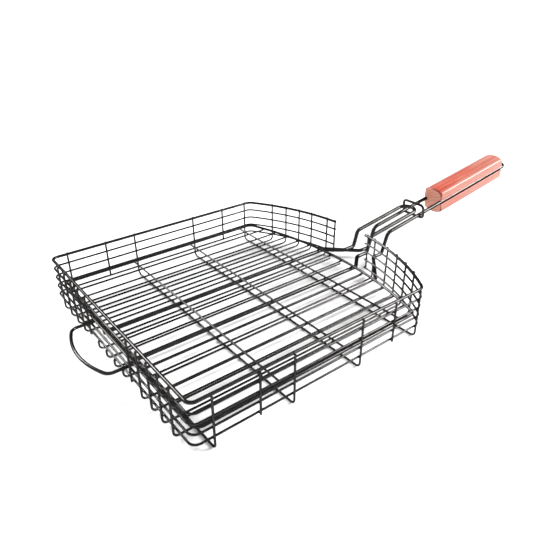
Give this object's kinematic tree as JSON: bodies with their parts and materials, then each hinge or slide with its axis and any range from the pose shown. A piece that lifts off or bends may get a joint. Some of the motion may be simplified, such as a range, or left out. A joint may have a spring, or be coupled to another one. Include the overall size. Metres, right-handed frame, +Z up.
{
  "type": "grill basket",
  "caption": "Open wire grill basket with a wood-gripped handle, an inner mesh lid that tilts on a loop at the back and a sliding ring that locks the handles together.",
  "frame": {"origin": "on the surface that the tray's cross wires stand on, midway between the first and last cross wire and on the plane of symmetry", "axes": "+X towards the handle's grip, +Z up, +Y to the right of the person who holds the grip and faces the basket"},
  "size_m": [0.6357, 0.286, 0.0858],
  "materials": {
    "coated_wire": "black non-stick coating, glossy",
    "grip_wood": "reddish stained hardwood under satin varnish"
  },
  "bodies": {
    "tray": {"back_post_left": "coated_wire", "back_post_right": "coated_wire", "centre_wire_left_1": "coated_wire", "centre_wire_left_2": "coated_wire", "centre_wire_right_1": "coated_wire", "centre_wire_right_2": "coated_wire", "cross_wire_1": "coated_wire", "cross_wire_2": "coated_wire", "cross_wire_3": "coated_wire", "cross_wire_4": "coated_wire", "floor_wire_left_1": "coated_wire", "floor_wire_left_2": "coated_wire", "floor_wire_left_3": "coated_wire", "floor_wire_left_4": "coated_wire", "floor_wire_right_1": "coated_wire", "floor_wire_right_2": "coated_wire", "floor_wire_right_3": "coated_wire", "floor_wire_right_4": "coated_wire", "gap_post_left": "coated_wire", "gap_post_right": "coated_wire", "grip": "grip_wood", "inner_floor_wire_left": "coated_wire", "inner_floor_wire_right": "coated_wire", "lower_rail": "coated_wire", "middle_rail": "coated_wire", "pivot_rail": "coated_wire", "rim": "coated_wire", "side_post_left_front": "coated_wire", "side_post_left_rear": "coated_wire", "side_post_right_front": "coated_wire", "side_post_right_rear": "coated_wire", "tray_handle_wire": "coated_wire", "upper_rail": "coated_wire"},
    "lid": {"hinge_loop": "coated_wire", "lid_border": "coated_wire", "lid_cross_wire_1": "coated_wire", "lid_cross_wire_2": "coated_wire", "lid_cross_wire_3": "coated_wire", "lid_handle_wire": "coated_wire", "lid_wire_left_1": "coated_wire", "lid_wire_left_2": "coated_wire", "lid_wire_left_3": "coated_wire", "lid_wire_left_4": "coated_wire", "lid_wire_left_5": "coated_wire", "lid_wire_left_6": "coated_wire", "lid_wire_right_1": "coated_wire", "lid_wire_right_2": "coated_wire", "lid_wire_right_3": "coated_wire", "lid_wire_right_4": "coated_wire", "lid_wire_right_5": "coated_wire", "lid_wire_right_6": "coated_wire"},
    "ring": {"lock_ring": "coated_wire"}
  },
  "joints": [
    {"name": "lid_tilt", "type": "hinge", "parent": "tray", "child": "lid", "pos_m": [-0.133, 0, 0.0217], "axis": [0, -1, 0], "range_deg": [0, 45]},
    {"name": "ring_slide", "type": "slide", "parent": "tray", "child": "ring", "axis": [0.989, 0, 0.1478], "range_m": [-0.046, 0.036]}
  ]
}
